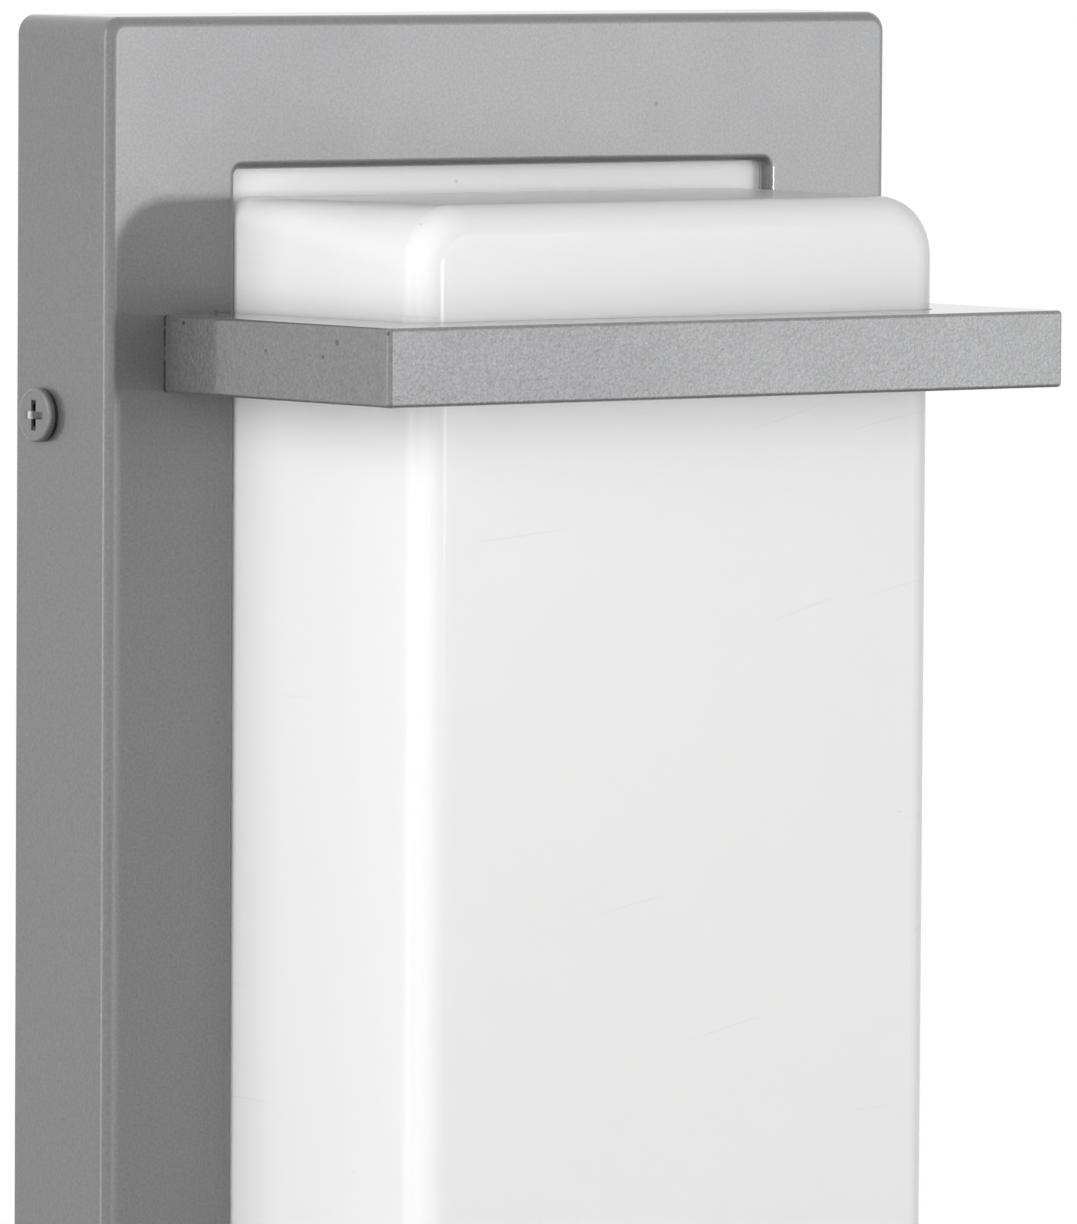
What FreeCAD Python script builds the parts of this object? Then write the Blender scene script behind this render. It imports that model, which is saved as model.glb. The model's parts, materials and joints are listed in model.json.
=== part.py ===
"""Outdoor wall lantern: a painted pan with a moulded opal diffuser, held by two bars.

Millimetres. +X is to the right of someone facing the lantern, -Y points away from the wall and
+Z is up. The origin lies on the wall, at the middle of the slots for the junction-box screws.
Y is 0 at the wall and gets more negative towards the front.
"""
import FreeCAD, Part
import math
import os
from FreeCAD import Vector

# --- cover pan -------------------------------------------------------------------------------
cover_width = 150.0
cover_height = 360.0
cover_depth = 23.0
cover_wall = 1.5
cover_corner_radius = 3.0       # the four corners seen from the front
cover_edge_radius = 1.6         # round the front face
cover_side_margin = 23.8        # from the pan's side to the opening
cover_end_margin = 23.0         # from the pan's top or bottom to the opening
opening_corner_radius = 1.0
opening_lip_radius = 1.3
weep_hole_radius = 2.0
weep_hole_spacing = 80.0

# --- diffuser --------------------------------------------------------------------------------
diffuser_reach = 43.7           # from the pan's front face
diffuser_wall = 2.5
diffuser_side_gap = 2.0         # to the opening, at the diffuser's face between the bars
diffuser_end_growth = 0.7       # each side, from the bars to the ends
diffuser_end_gap = 4.2          # to the opening, above and below
diffuser_corner_radius = 9.6
diffuser_edge_radius = 4.4
root_gap = 0.3                  # to the opening's sides, where the diffuser comes through it
root_corner_radius = 3.6
flange_overlap = 3.0            # of the diffuser's flange behind the opening's edge
flange_thickness = 2.5
gasket_thickness = 1.0
gasket_setback = 0.3            # of the gasket's inner edge from the opening

# --- bars ------------------------------------------------------------------------------------
bar_height = 11.7
bar_width = 129.0
bar_reach = 55.4                # from the pan's front face
bar_from_end = 50.3             # from the pan's end to the bar's middle
bar_gap = 0.3                   # to the widest part of the diffuser
bar_edge_radius = 0.6
bar_corner_radius = 0.8

# --- bosses and tray -------------------------------------------------------------------------
boss_radius = 3.5
boss_gap = 0.8                  # between the flange and the bosses
boss_spacing_z = 70.0
boss_spacing_x = 60.0
tray_thickness = 1.0
tray_dish = 6.0                 # how far the tray's middle stands in front of its rim
tray_dish_gap = 2.0             # between the dish's foot and the diffuser's wall
tray_dish_slope = 3.0           # how much narrower the dish is at its face, each side
tray_corner_radius = 6.0
lead_hole_radius = 7.0

# --- light boards ----------------------------------------------------------------------------
board_width = 18.0
board_thickness = 1.6
board_offset = 23.0             # of each board's middle from the lantern's middle
board_end_margin = 9.0          # from the last chip's middle to the board's end
board_end_gap = 8.0             # the least room between a board and the dish's edge
chip_pitch = 16.8
chip_width = 3.5
chip_length = 2.8
chip_height = 0.7
connector_width = 7.0
connector_height = 4.2
connector_length = 5.0
connector_from_end = 0.8
connector_mouth_radius = 0.9
connector_mouth_depth = 3.5

# --- driver and terminal block ---------------------------------------------------------------
driver_width = 34.0
driver_length = 96.0
driver_case_height = 12.0
driver_lid_height = 2.4
driver_lid_radius = 1.0
driver_wall = 1.6
driver_ear_length = 8.0
driver_ear_width = 22.0
driver_ear_thickness = 2.5
driver_top_gap = 2.0            # between the driver's upper ear and the dish's end
terminal_pitch = 8.0
terminal_poles = 3
terminal_depth = 16.0
terminal_height = 11.0
terminal_middle_z = -45.0
terminal_ear = 8.0
terminal_ear_thickness = 3.0
terminal_well_radius = 2.3
terminal_well_depth = 5.5
terminal_row_offset = 4.0
terminal_screw_height = 2.8
terminal_entry_radius = 1.6
terminal_entry_height = 2.8     # of each wire hole's middle above the tray
terminal_end_wall = 2.0

# --- wall plate ------------------------------------------------------------------------------
plate_thickness = 1.2
plate_clearance = 0.3           # inside the pan, all round
plate_corner_radius = 1.5
plate_flange_depth = 12.0
plate_rim_width = 11.0
wall_gasket_thickness = 1.0
wall_gasket_gap = 0.3
box_slot_spacing_wide = 88.9
box_slot_length_wide = 14.0
box_slot_spacing_tall = 69.9
box_slot_length_tall = 12.0
box_slot_width = 4.8
entry_radius = 11.0
bushing_bore_radius = 8.0
bushing_flange_radius = 13.5
bushing_flange_height = 1.5
bushing_flange_chamfer = 0.6
ground_x = 24.0
ground_z = -24.0
ground_boss_radius = 4.0
ground_boss_height = 3.8

# --- side fastening --------------------------------------------------------------------------
side_screw_from_end = 59.9
side_screw_from_wall = 6.4
clinch_nut_radius = 3.4
clinch_nut_length = 3.2

# --- screws: head radius, head height, thread radius, length under the head ------------------
side_screw = (4.1, 1.6, 2.0, 10.0)
bar_screw = (3.5, 2.2, 2.0, 11.0)
tray_screw = (2.8, 2.0, 1.5, 5.0)
board_screw = (2.8, 2.0, 1.5, 4.0)
driver_screw = (2.8, 2.0, 1.5, 5.0)
ground_screw = (3.6, 2.6, 2.0, 5.2)
head_shoulder_radius = 0.5
thread_clearance = 0.05
pass_clearance = 0.25
recess_length = 4.6
recess_foot_length = 1.8
recess_width = 1.15
recess_depth = 1.9
least_radius = 0.3              # of a corner that a wall has used up
washer_thickness = 0.8
washer_overhang = 0.5

# --- places worked out from the sizes above --------------------------------------------------
cover_front = -cover_depth
cover_inside = cover_front + cover_wall
opening_half_w = cover_width / 2 - cover_side_margin
opening_half_h = cover_height / 2 - cover_end_margin
body_half_w = opening_half_w - diffuser_side_gap
end_half_w = body_half_w + diffuser_end_growth
body_half_h = opening_half_h - diffuser_end_gap
body_front = cover_front - diffuser_reach
root_half_w = opening_half_w - root_gap
flange_half_w = opening_half_w + flange_overlap
flange_half_h = opening_half_h + flange_overlap
flange_corner_radius = opening_corner_radius + flange_overlap
flange_front = cover_inside + gasket_thickness
flange_back = flange_front + flange_thickness
bar_z = cover_height / 2 - bar_from_end
bar_front = cover_front - bar_reach
bar_inner_half_w = end_half_w + bar_gap
bar_foot_half_w = root_half_w + bar_gap
bar_inner_front = body_front - bar_gap
boss_x = flange_half_w + boss_gap + boss_radius
boss_z = flange_half_h + boss_gap + boss_radius
bar_screw_x = boss_x
tray_half_w = boss_x + boss_radius
tray_half_h = boss_z + boss_radius
tray_back = flange_back + tray_thickness
dish_front = flange_back - tray_dish
dish_back = dish_front + tray_thickness
dish_half_w = body_half_w - diffuser_wall - tray_dish_gap
dish_half_h = body_half_h - diffuser_wall - tray_dish_gap
dish_face_half_h = dish_half_h - tray_dish_slope
board_front = dish_front - board_thickness
chip_room = 2 * (dish_face_half_h - board_end_gap - board_end_margin)
chip_count = 2 * int(chip_room / chip_pitch / 2 + 0.5)
board_half_length = (chip_count - 1) * chip_pitch / 2 + board_end_margin
plate_half_w = cover_width / 2 - cover_wall - plate_clearance
plate_half_h = cover_height / 2 - cover_wall - plate_clearance
plate_rim_back = -wall_gasket_thickness
plate_rim_front = plate_rim_back - plate_thickness
raised_half_w = plate_half_w - plate_rim_width
raised_half_h = plate_half_h - plate_rim_width
side_screw_z = cover_height / 2 - side_screw_from_end
driver_case_back = dish_back + driver_case_height
driver_top = dish_face_half_h - tray_thickness - driver_top_gap
driver_middle_z = driver_top - driver_ear_length - driver_length / 2
terminal_half_w = terminal_pitch * terminal_poles / 2 + terminal_end_wall


# --- shapes ----------------------------------------------------------------------------------
def box(low, high):
    """A box between two corners."""
    size = high - low
    return Part.makeBox(size.x, size.y, size.z, low)


def rounded_wire(half_w, half_h, radius, y):
    """A rounded rectangle round the Y axis, in the plane at y, its corners never quite sharp."""
    radius = min(max(radius, least_radius), half_w * 0.9, half_h * 0.9)
    bend = radius * (1 - math.sqrt(0.5))
    edges = []
    for turn in range(4):
        across, along = (half_w, half_h) if turn % 2 == 0 else (half_h, half_w)
        side = Part.LineSegment(
            Vector(across, 0, radius - along),
            Vector(across, 0, along - radius),
        )
        corner = Part.Arc(
            Vector(across, 0, along - radius),
            Vector(across - bend, 0, along - bend),
            Vector(across - radius, 0, along),
        )
        for curve in (side, corner):
            edge = curve.toShape()
            edge.rotate(Vector(0, 0, 0), Vector(0, 1, 0), -90 * turn)
            edge.translate(Vector(0, y, 0))
            edges.append(edge)
    return Part.Wire(Part.__sortEdges__(edges))


def rounded_block(half_w, half_h, radius, y_back, y_front):
    """A rounded rectangle extruded from y_back forwards to y_front."""
    face = Part.Face(rounded_wire(half_w, half_h, radius, y_back))
    return face.extrude(Vector(0, y_front - y_back, 0))


def edges_on_plane(shape, y, half_w=None):
    """The edges that lie in the plane at y, and within half_w of the middle if it is given."""
    found = []
    for edge in shape.Edges:
        bounds = edge.BoundBox
        if abs(bounds.YMin - y) > 0.01 or abs(bounds.YMax - y) > 0.01:
            continue
        if half_w is None or max(abs(bounds.XMin), abs(bounds.XMax)) < half_w:
            found.append(edge)
    return found


def cylinder(radius, start, end):
    """A round bar between two points."""
    return Part.makeCylinder(radius, (end - start).Length, start, end - start)


def slot(length, width, centre, along, depth):
    """A cutter for a slot through a plate, with round ends."""
    through = Vector(0, depth, 0)
    reach = along * ((length - width) / 2)
    across = along.cross(Vector(0, 1, 0)) * (width / 2)
    cutter = cylinder(width / 2, centre + reach - through, centre + reach + through)
    cutter = cutter.fuse(cylinder(width / 2, centre - reach - through, centre - reach + through))
    corners = [centre + reach * a + across * b - through for a, b in ((1, 1), (-1, 1), (-1, -1), (1, -1))]
    middle = Part.Face(Part.makePolygon(corners + corners[:1])).extrude(through * 2)
    return cutter.fuse(middle)


def both_signs(x, z):
    """The four places that mirror (x, z) left to right and top to bottom."""
    return [(sx * x, sz * z) for sx in (-1, 1) for sz in (-1, 1)]


def turned(shape, place, direction):
    """A shape built along +Z, moved to a place and pointed along a direction."""
    shape = shape.copy()
    shape.Placement = FreeCAD.Placement(place, FreeCAD.Rotation(Vector(0, 0, 1), direction))
    return shape


def join(solids):
    """One solid from several that touch."""
    return solids[0].fuse(solids[1:]).removeSplitter()


# --- screws ----------------------------------------------------------------------------------
def screw(size):
    """A screw with a flat head: its head's seat is at z 0, its head above and its thread below."""
    head_radius, head_height, thread_radius, length = size
    head = Part.makeCylinder(head_radius, head_height)
    shank = Part.makeCylinder(thread_radius, length, Vector(0, 0, -length))
    return join([head, shank])


def cross_recess(head_height):
    """The cutter for a crosshead recess: two tapering blades that cross."""
    foot = head_height - recess_depth
    profile = [
        Vector(-recess_length / 2, -recess_width / 2, head_height),
        Vector(recess_length / 2, -recess_width / 2, head_height),
        Vector(recess_foot_length / 2, -recess_width / 2, foot),
        Vector(-recess_foot_length / 2, -recess_width / 2, foot),
    ]
    blade = Part.Face(Part.makePolygon(profile + profile[:1])).extrude(Vector(0, recess_width, 0))
    other = blade.copy()
    other.rotate(Vector(0, 0, 0), Vector(0, 0, 1), 90)
    return blade.fuse(other)


def side_screws():
    """The screws in view, with a rounded shoulder and a crosshead recess."""
    head_height = side_screw[1]
    blank = screw(side_screw)
    rim = [e for e in blank.Edges if e.BoundBox.ZMin > head_height - 0.01]
    blank = blank.makeFillet(head_shoulder_radius, rim).cut(cross_recess(head_height))
    made = []
    for x, z in both_signs(cover_width / 2, side_screw_z):
        made.append(turned(blank, Vector(x, -side_screw_from_wall, z), Vector(math.copysign(1, x), 0, 0)))
    return made


def screw_row(size, places, y, direction):
    """Like screws at (x, z) places, with their heads' seats at y."""
    blank = screw(size)
    return [turned(blank, Vector(x, y, z), Vector(0, direction, 0)) for x, z in places]


def holes(radius, places, y_back, y_front):
    """Cutters for round holes along Y."""
    return [cylinder(radius, Vector(x, y_back, z), Vector(x, y_front, z)) for x, z in places]


# --- the pan and what it carries -------------------------------------------------------------
def boss_places():
    rows = [(sx * boss_x, step * boss_spacing_z) for sx in (-1, 1) for step in (-1, 0, 1)]
    return rows + both_signs(boss_spacing_x / 2, boss_z)


def cover_pan():
    outer = rounded_block(cover_width / 2, cover_height / 2, cover_corner_radius, 0, cover_front)
    outer = outer.makeFillet(cover_edge_radius, edges_on_plane(outer, cover_front))
    inside = rounded_block(
        cover_width / 2 - cover_wall,
        cover_height / 2 - cover_wall,
        cover_corner_radius - cover_wall,
        0,
        cover_inside,
    )
    opening = rounded_block(opening_half_w, opening_half_h, opening_corner_radius, 0, cover_front)
    pan = outer.cut(inside).cut(opening)
    lip = edges_on_plane(pan, cover_front, opening_half_w + 1)
    pan = pan.makeFillet(min(opening_lip_radius, cover_wall * 0.9), lip)
    pan = join([pan] + holes(boss_radius, boss_places(), cover_inside, flange_back))
    tapped = tray_screw[2] + thread_clearance
    cutters = holes(tapped, boss_places(), flange_back, cover_inside - cover_wall / 2)
    pass_radius = bar_screw[2] + pass_clearance
    cutters += holes(pass_radius, both_signs(bar_screw_x, bar_z), cover_inside, cover_front)
    reach = Vector(cover_width / 2, 0, 0)
    for sz in (-1, 1):
        middle = Vector(0, -side_screw_from_wall, sz * side_screw_z)
        cutters.append(cylinder(side_screw[2] + pass_clearance, middle - reach, middle + reach))
    weep_y = (cover_inside - plate_flange_depth) / 2
    for sx in (-1, 1):
        mouth = Vector(sx * weep_hole_spacing / 2, weep_y, -cover_height / 2)
        cutters.append(cylinder(weep_hole_radius, mouth, mouth + Vector(0, 0, cover_wall)))
    return pan.cut(cutters)


def flat_sided(solid):
    """The same solid, with true planes for the faces that are flat."""
    faces = []
    for face in solid.Faces:
        flat = face.Surface.isPlanar()
        faces.append(Part.Face(face.findPlane(), face.OuterWire) if flat else face)
    shell = Part.Shell(faces)
    shell.sewShape()
    return Part.Solid(shell)


def diffuser_body(front_half_w, inset, edge_radius):
    """A moulded block that narrows forwards as its corners grow, its front edges rounded."""
    root = (root_half_w - inset, body_half_h - inset, root_corner_radius - inset)
    face = (front_half_w - inset, body_half_h - inset, diffuser_corner_radius - inset)
    front = body_front + inset
    wires = [rounded_wire(*root, cover_front), rounded_wire(*face, front)]
    block = flat_sided(Part.makeLoft(wires, True, True))
    block = block.makeFillet(edge_radius, edges_on_plane(block, front))
    return block.fuse(rounded_block(*root, flange_back, cover_front))


def diffuser():
    """A moulded opal box: fuller at its ends than between the bars, and a flange behind."""
    body = diffuser_body(body_half_w, 0, diffuser_edge_radius)
    ends = diffuser_body(end_half_w, 0, diffuser_edge_radius)
    middle = box(Vector(-root_half_w, body_front, -bar_z), Vector(root_half_w, flange_back, bar_z))
    flange = rounded_block(
        flange_half_w,
        flange_half_h,
        flange_corner_radius,
        flange_back,
        flange_front,
    )
    hollow = diffuser_body(body_half_w, diffuser_wall, diffuser_edge_radius - diffuser_wall)
    return join([body, ends.cut(middle), flange]).cut(hollow)


def diffuser_gasket():
    outline = rounded_block(
        flange_half_w,
        flange_half_h,
        flange_corner_radius,
        flange_front,
        cover_inside,
    )
    window = rounded_block(
        opening_half_w + gasket_setback,
        opening_half_h + gasket_setback,
        opening_corner_radius + gasket_setback,
        flange_front,
        cover_inside,
    )
    return outline.cut(window)


def bar(middle_z):
    """A U-shaped bar that clasps the diffuser, its two ends flat against the pan."""
    low = Vector(-bar_width / 2, bar_front, middle_z - bar_height / 2)
    high = Vector(bar_width / 2, cover_front, middle_z + bar_height / 2)
    solid = box(low, high)
    upright = [e for e in solid.Edges if e.BoundBox.ZLength > bar_height * 0.9]
    corners = [e for e in upright if abs(e.BoundBox.YMax - bar_front) < 0.01]
    solid = solid.makeFillet(bar_corner_radius, corners)
    rims = [e for e in solid.Edges if e.BoundBox.ZLength < 0.01 and e.BoundBox.YMin < cover_front - 0.01]
    solid = solid.makeFillet(bar_edge_radius, rims)
    outline = [
        Vector(-bar_foot_half_w, cover_front, low.z),
        Vector(-bar_inner_half_w, bar_inner_front, low.z),
        Vector(bar_inner_half_w, bar_inner_front, low.z),
        Vector(bar_foot_half_w, cover_front, low.z),
    ]
    window = Part.Face(Part.makePolygon(outline + outline[:1])).extrude(Vector(0, 0, bar_height))
    inner = [e for e in window.Edges if e.BoundBox.ZLength > bar_height * 0.9]
    inner = [e for e in inner if abs(e.BoundBox.YMax - bar_inner_front) < 0.01]
    window = window.makeFillet(diffuser_edge_radius, inner)
    depth = bar_screw[3] - cover_wall
    tapped = bar_screw[2] + thread_clearance
    places = [(-bar_screw_x, middle_z), (bar_screw_x, middle_z)]
    return solid.cut([window] + holes(tapped, places, cover_front, cover_front - depth))


def bar_washers():
    radius = bar_screw[0] + washer_overhang
    bore = bar_screw[2] + thread_clearance
    made = []
    for place in both_signs(bar_screw_x, bar_z):
        disc = holes(radius, [place], cover_inside + washer_thickness, cover_inside)[0]
        made.append(disc.cut(holes(bore, [place], cover_inside + washer_thickness, cover_inside)[0]))
    return made


# --- the tray and what it carries ------------------------------------------------------------
def dish(offset, y_back, y_front):
    """The dish's sloping form, grown by an offset."""
    foot = rounded_wire(dish_half_w + offset, dish_half_h + offset, tray_corner_radius + offset, y_back)
    face = rounded_wire(
        dish_half_w - tray_dish_slope + offset,
        dish_half_h - tray_dish_slope + offset,
        tray_corner_radius + offset,
        y_front,
    )
    return Part.makeLoft([foot, face], True, True)


def driver_screw_places():
    reach = driver_length / 2 + driver_ear_length / 2
    ends = [(0, driver_middle_z - reach), (0, driver_middle_z + reach)]
    return ends + [(0, terminal_middle_z - terminal_depth / 2 - terminal_ear / 2)]


def board_screw_places():
    step = (chip_count / 2 - 1) * chip_pitch
    return [(sx * board_offset, k * step) for sx in (-1, 1) for k in (-1, 0, 1)]


def led_tray():
    rim = rounded_block(tray_half_w, tray_half_h, tray_corner_radius, tray_back, flange_back)
    tray = join([rim, dish(0, flange_back, dish_front)])
    tray = tray.cut(dish(-tray_thickness, tray_back, dish_back))
    cutters = holes(tray_screw[2] + pass_clearance, boss_places(), tray_back, flange_back)
    notch = bar_screw[0] + washer_overhang + boss_gap
    cutters += holes(notch, both_signs(bar_screw_x, bar_z), tray_back, flange_back)
    cutters += holes(board_screw[2] + thread_clearance, board_screw_places(), dish_back, dish_front)
    cutters += holes(driver_screw[2] + thread_clearance, driver_screw_places(), dish_back, dish_front)
    cutters += holes(lead_hole_radius, [(0, 0)], dish_back, dish_front)
    return tray.cut(cutters)


def led_board(side):
    middle = side * board_offset
    board = box(
        Vector(middle - board_width / 2, board_front, -board_half_length),
        Vector(middle + board_width / 2, dish_front, board_half_length),
    )
    places = [place for place in board_screw_places() if place[0] == middle]
    return board.cut(holes(board_screw[2] + pass_clearance, places, dish_front, board_front))


def led_chips(side):
    made = []
    for step in range(chip_count):
        middle = Vector(side * board_offset, board_front, (step - (chip_count - 1) / 2) * chip_pitch)
        half = Vector(chip_width / 2, 0, chip_length / 2)
        made.append(box(middle - half - Vector(0, chip_height, 0), middle + half))
    return made


def board_connectors():
    made = []
    for side in (-1, 1):
        middle = side * board_offset
        top = board_half_length - connector_from_end
        low = Vector(middle - connector_width / 2, board_front - connector_height, top - connector_length)
        body = box(low, Vector(middle + connector_width / 2, board_front, top))
        mouths = []
        for step in (-1, 1):
            mouth = Vector(middle + step * connector_width / 4, board_front - connector_height / 2, low.z)
            end = mouth + Vector(0, 0, connector_mouth_depth)
            mouths.append(cylinder(connector_mouth_radius, mouth, end))
        made.append(body.cut(mouths))
    return made


def driver_case():
    """The driver's open tub, with an ear at each end on the tray."""
    half = Vector(driver_width / 2, 0, driver_length / 2)
    middle = Vector(0, 0, driver_middle_z)
    tub = box(middle - half + Vector(0, dish_back, 0), middle + half + Vector(0, driver_case_back, 0))
    wall = Vector(driver_wall, 0, driver_wall)
    hollow = box(
        middle - half + wall + Vector(0, dish_back + driver_wall, 0),
        middle + half - wall + Vector(0, driver_case_back, 0),
    )
    ear_half = Vector(driver_ear_width / 2, 0, driver_length / 2 + driver_ear_length)
    ears = box(
        middle - ear_half + Vector(0, dish_back, 0),
        middle + ear_half + Vector(0, dish_back + driver_ear_thickness, 0),
    )
    case = join([tub, ears]).cut(hollow)
    ear_back = dish_back + driver_ear_thickness
    pass_radius = driver_screw[2] + pass_clearance
    return case.cut(holes(pass_radius, driver_screw_places()[:2], ear_back, dish_back))


def driver_potting():
    half = Vector(driver_width / 2 - driver_wall, 0, driver_length / 2 - driver_wall)
    middle = Vector(0, 0, driver_middle_z)
    return box(
        middle - half + Vector(0, dish_back + driver_wall, 0),
        middle + half + Vector(0, driver_case_back - driver_wall, 0),
    )


def driver_lid():
    """A shallow lid with a tongue that drops into the tub."""
    half = Vector(driver_width / 2, 0, driver_length / 2)
    middle = Vector(0, 0, driver_middle_z)
    plate = box(
        middle - half + Vector(0, driver_case_back, 0),
        middle + half + Vector(0, driver_case_back + driver_lid_height, 0),
    )
    edges = [e for e in plate.Edges if e.BoundBox.YMin > driver_case_back + 0.01]
    plate = plate.makeFillet(driver_lid_radius, edges)
    step = Vector(driver_wall + thread_clearance, 0, driver_wall + thread_clearance)
    tongue = box(
        middle - half + step + Vector(0, driver_case_back - driver_wall, 0),
        middle + half - step + Vector(0, driver_case_back, 0),
    )
    return join([plate, tongue])


def pole_places():
    first = -(terminal_poles - 1) / 2 * terminal_pitch
    return [first + step * terminal_pitch for step in range(terminal_poles)]


def terminal_block():
    """A barrier block: a screw well for each wire, and an ear for its own screw."""
    back = dish_back + terminal_height
    low = Vector(-terminal_half_w, dish_back, terminal_middle_z - terminal_depth / 2)
    high = Vector(terminal_half_w, back, terminal_middle_z + terminal_depth / 2)
    ear = box(
        Vector(-terminal_ear / 2, dish_back, low.z - terminal_ear),
        Vector(terminal_ear / 2, dish_back + terminal_ear_thickness, low.z),
    )
    block = join([box(low, high), ear])
    cutters = []
    for x in pole_places():
        for row in (-1, 1):
            place = (x, terminal_middle_z + row * terminal_row_offset)
            cutters += holes(terminal_well_radius, [place], back, back - terminal_well_depth)
        entry = Vector(x, dish_back + terminal_entry_height, low.z)
        cutters.append(cylinder(terminal_entry_radius, entry, entry + Vector(0, 0, terminal_depth)))
    cutters += holes(
        driver_screw[2] + pass_clearance,
        driver_screw_places()[2:],
        dish_back + terminal_ear_thickness,
        dish_back,
    )
    return block.cut(cutters)


def terminal_screws():
    seat = dish_back + terminal_height - terminal_well_depth
    radius = terminal_well_radius - thread_clearance
    made = []
    for x in pole_places():
        for row in (-1, 1):
            place = (x, terminal_middle_z + row * terminal_row_offset)
            made += holes(radius, [place], seat, seat + terminal_screw_height)
    return made


def ear_seats():
    """Each driver screw's place and the face that its head sits on."""
    driver_seat = dish_back + driver_ear_thickness
    terminal_seat = dish_back + terminal_ear_thickness
    return zip(driver_screw_places(), (driver_seat, driver_seat, terminal_seat))


def driver_screws():
    made = []
    for place, seat in ear_seats():
        made += screw_row(driver_screw, [place], seat, 1)
    return made


# --- the wall plate and what it carries ------------------------------------------------------
def wall_plate():
    """A pressed plate: its middle on the wall, its rim stepped forward over the gasket."""
    tray = rounded_block(plate_half_w, plate_half_h, plate_corner_radius, 0, -plate_flange_depth)
    inside = rounded_block(
        plate_half_w - plate_thickness,
        plate_half_h - plate_thickness,
        plate_corner_radius - plate_thickness,
        plate_rim_front,
        -plate_flange_depth,
    )
    pressed = rounded_block(
        raised_half_w - plate_thickness,
        raised_half_h - plate_thickness,
        tray_corner_radius - plate_thickness,
        -plate_thickness,
        plate_rim_front,
    )
    behind = rounded_block(plate_half_w, plate_half_h, plate_corner_radius, 0, plate_rim_back)
    behind = behind.cut(rounded_block(raised_half_w, raised_half_h, tray_corner_radius, 0, plate_rim_back))
    plate = tray.cut([inside, pressed, behind])
    boss_front = -plate_thickness - ground_boss_height
    plate = join([plate] + holes(ground_boss_radius, [(ground_x, ground_z)], -plate_thickness, boss_front))
    cutters = holes(ground_screw[2] + thread_clearance, [(ground_x, ground_z)], 0, boss_front)
    cutters += holes(entry_radius, [(0, 0)], 0, -plate_thickness)
    for sign in (-1, 1):
        wide = Vector(sign * box_slot_spacing_wide / 2, 0, 0)
        tall = Vector(0, 0, sign * box_slot_spacing_tall / 2)
        cutters.append(slot(box_slot_length_wide, box_slot_width, wide, Vector(1, 0, 0), plate_thickness))
        cutters.append(slot(box_slot_length_tall, box_slot_width, tall, Vector(0, 0, 1), plate_thickness))
    reach = Vector(plate_half_w, 0, 0)
    for sz in (-1, 1):
        middle = Vector(0, -side_screw_from_wall, sz * side_screw_z)
        cutters.append(cylinder(side_screw[2] + thread_clearance, middle - reach, middle + reach))
    return plate.cut(cutters)


def wall_gasket():
    outline = rounded_block(plate_half_w, plate_half_h, plate_corner_radius, 0, plate_rim_back)
    window = rounded_block(
        raised_half_w + wall_gasket_gap,
        raised_half_h + wall_gasket_gap,
        tray_corner_radius + wall_gasket_gap,
        0,
        plate_rim_back,
    )
    return outline.cut(window)


def wire_bushing():
    """A snap bushing that lines the wire entry, its collar on the plate's front."""
    front = -plate_thickness - bushing_flange_height
    middle = [(0, 0)]
    sleeve = holes(entry_radius - thread_clearance, middle, 0, -plate_thickness)[0]
    collar = holes(bushing_flange_radius, middle, -plate_thickness, front)[0]
    collar = collar.makeChamfer(bushing_flange_chamfer, edges_on_plane(collar, front))
    return join([sleeve, collar]).cut(holes(bushing_bore_radius, middle, 0, front)[0])


def clinch_nuts():
    """Round nuts pressed into the plate's side flanges."""
    face = plate_half_w - plate_thickness
    made = []
    for x, z in both_signs(face, side_screw_z):
        start = Vector(x, -side_screw_from_wall, z)
        end = start - Vector(math.copysign(clinch_nut_length, x), 0, 0)
        nut = cylinder(clinch_nut_radius, start, end)
        made.append(nut.cut(cylinder(side_screw[2] + thread_clearance, start, end)))
    return made


def ground_parts():
    """The green grounding screw and the cupped washer under its head."""
    seat = -plate_thickness - ground_boss_height
    place = [(ground_x, ground_z)]
    radius = ground_screw[0] + washer_overhang
    disc = holes(radius, place, seat, seat - washer_thickness)[0]
    washer = disc.cut(holes(ground_screw[2] + thread_clearance, place, seat, seat - washer_thickness)[0])
    return screw_row(ground_screw, place, seat - washer_thickness, -1), washer


# --- the whole lantern -----------------------------------------------------------------------
def build():
    grounding, washer = ground_parts()
    bar_screw_places = both_signs(bar_screw_x, bar_z)
    return {
        "cover_pan": cover_pan(),
        "diffuser": diffuser(),
        "diffuser_gasket": diffuser_gasket(),
        "upper_bar": bar(bar_z),
        "lower_bar": bar(-bar_z),
        "bar_screws": screw_row(bar_screw, bar_screw_places, cover_inside + washer_thickness, 1),
        "bar_washers": bar_washers(),
        "led_tray": led_tray(),
        "tray_screws": screw_row(tray_screw, boss_places(), tray_back, 1),
        "led_board_left": led_board(-1),
        "led_board_right": led_board(1),
        "led_chips_left": led_chips(-1),
        "led_chips_right": led_chips(1),
        "board_connectors": board_connectors(),
        "board_screws": screw_row(board_screw, board_screw_places(), board_front, -1),
        "driver_case": driver_case(),
        "driver_potting": driver_potting(),
        "driver_lid": driver_lid(),
        "driver_screws": driver_screws(),
        "terminal_block": terminal_block(),
        "terminal_screws": terminal_screws(),
        "wall_plate": wall_plate(),
        "wall_gasket": wall_gasket(),
        "wire_bushing": wire_bushing(),
        "side_screws": side_screws(),
        "clinch_nuts": clinch_nuts(),
        "ground_screw": grounding,
        "ground_washer": washer,
    }


def main():
    os.makedirs("parts", exist_ok=True)
    for name, made in build().items():
        shape = Part.Compound(made) if isinstance(made, list) else made
        shape.exportStep("parts/" + name + ".step")
        print(f"{name}: {len(shape.Solids)} solid(s), {shape.Volume / 1000:.2f} cm3, valid {shape.isValid()}")


main()
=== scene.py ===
import bmesh
import bpy
import json
import math
from mathutils import Matrix, Vector


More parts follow.
